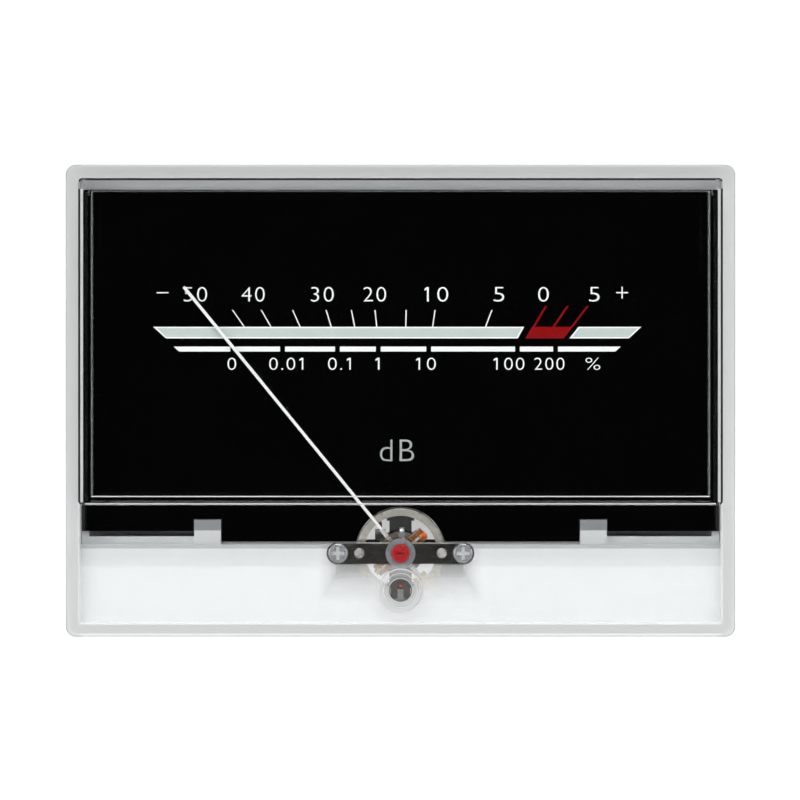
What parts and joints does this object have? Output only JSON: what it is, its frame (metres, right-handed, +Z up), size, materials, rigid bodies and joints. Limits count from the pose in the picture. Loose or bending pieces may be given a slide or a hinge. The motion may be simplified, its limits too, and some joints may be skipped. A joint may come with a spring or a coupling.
{
  "type": "panel level meter",
  "caption": "Backlit rectangular panel level meter: clear raised-window cover, black decibel dial, moving-coil needle with zero adjuster, white rear case and terminal studs.",
  "frame": {"origin": "bottom centre of the object's box, on the surface it stands on", "axes": "+X to the right as the dial is read, +Y away from the reader, +Z up"},
  "size_m": [0.134, 0.04, 0.0945],
  "materials": {
    "clear_cover": "clear moulded plastic",
    "clear_adjuster": "clear moulded plastic",
    "white_case": "white moulded plastic",
    "black_dial": "gloss black print",
    "white_needle": "white paint",
    "nickel_iron": "nickel plate, turned",
    "blackened_steel": "dark polished strip",
    "bright_steel": "zinc plated",
    "grey_metal": "grey sheet metal",
    "red_lacquer": "red lacquer",
    "black_plastic": "black moulded plastic",
    "magnet": "ground magnet",
    "aluminium": "bare sheet",
    "copper": "enamelled copper",
    "brass": "bare brass",
    "jewel": "polished jewel",
    "bronze_strip": "spring bronze",
    "board": "white circuit board",
    "lamp": "yellow lamp resin",
    "tinned": "tinned wire",
    "red_sleeve": "insulated lead"
  },
  "bodies": {
    "case": {"front_cover": "clear_cover", "rear_case": "white_case", "dial_plate": "black_dial", "yoke_ring": "nickel_iron", "stop_pins": "brass", "core_magnet": "magnet", "magnet_blocks": "black_plastic", "front_bridge": "blackened_steel", "rear_bridge": "blackened_steel", "bridge_screws": "bright_steel", "front_bridge_rivets": "bright_steel", "rear_bridge_rivets": "bright_steel", "front_jewel_screw": "red_lacquer", "front_jewel": "jewel", "friction_washer": "grey_metal", "rear_jewel_screw": "brass", "rear_jewel": "jewel", "insulating_washer": "black_plastic", "rear_spring_lug": "grey_metal", "rear_lock_nut": "brass", "rear_hairspring": "bronze_strip", "lamp_boards": "board", "lamp_leds": "lamp", "lamp_leads": "tinned", "lamp_pins": "tinned", "terminal_studs": "brass", "inner_solder_tags": "tinned", "terminal_washers": "bright_steel", "terminal_nuts": "bright_steel", "outer_solder_tags": "tinned", "movement_leads": "red_sleeve"},
    "adjuster": {"zero_adjuster": "clear_adjuster"},
    "lever": {"zero_lever": "grey_metal", "front_hairspring": "bronze_strip"},
    "moving_coil": {"coil_former": "aluminium", "coil_winding": "copper", "front_pivot_base": "brass", "rear_pivot_base": "brass", "front_pivot": "bright_steel", "rear_pivot": "bright_steel", "balance_cross": "aluminium", "needle": "white_needle", "side_weights": "brass", "tail_weight": "brass"}
  },
  "joints": [
    {"name": "zero_adjuster_turn", "type": "hinge", "parent": "case", "child": "adjuster", "pos_m": [0, -0.015, 0.00935], "axis": [0, 1, 0], "range_deg": [-45, 45]},
    {"name": "zero_lever_turn", "type": "hinge", "parent": "case", "child": "lever", "pos_m": [0, -0.0114, 0.0166], "axis": [0, 1, 0], "range_deg": [-5.2, 5.2]},
    {"name": "needle_turn", "type": "hinge", "parent": "lever", "child": "moving_coil", "pos_m": [0, -0.0035, 0.0166], "axis": [0, 1, 0], "range_deg": [-2, 80], "stiffness_Nm_per_rad": 0.000008, "deforming": ["front_hairspring", "rear_hairspring"]}
  ],
  "couplings": [
    {"joint": "zero_lever_turn", "follows": "zero_adjuster_turn", "ratio": -0.10731}
  ]
}
